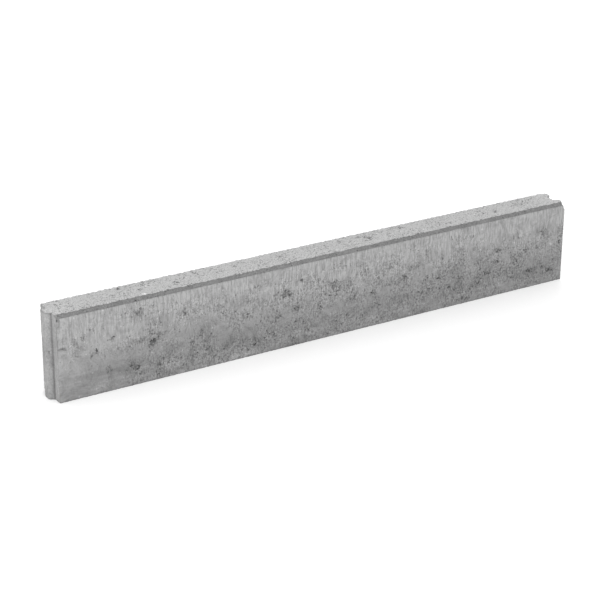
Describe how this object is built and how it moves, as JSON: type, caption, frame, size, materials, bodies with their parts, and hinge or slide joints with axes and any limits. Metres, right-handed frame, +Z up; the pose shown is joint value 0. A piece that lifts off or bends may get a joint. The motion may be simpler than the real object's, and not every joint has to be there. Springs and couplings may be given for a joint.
{
  "type": "concrete kerb stone",
  "caption": "Narrow straight concrete edging kerb with a chamfered front top edge, a tongue on one end and a matching groove on the other.",
  "frame": {"origin": "on the underside, in the middle of the laid length and of the thickness", "axes": "+X along the kerb towards the grooved end, +Y through the thickness towards the plain back face, +Z up"},
  "size_m": [1.009, 0.06, 0.15],
  "materials": {
    "cast_concrete": "grey vibro-pressed concrete, matt, sandy top, smoother face with fine pits"
  },
  "bodies": {
    "root": {"kerb_stone": "cast_concrete"}
  },
  "joints": []
}
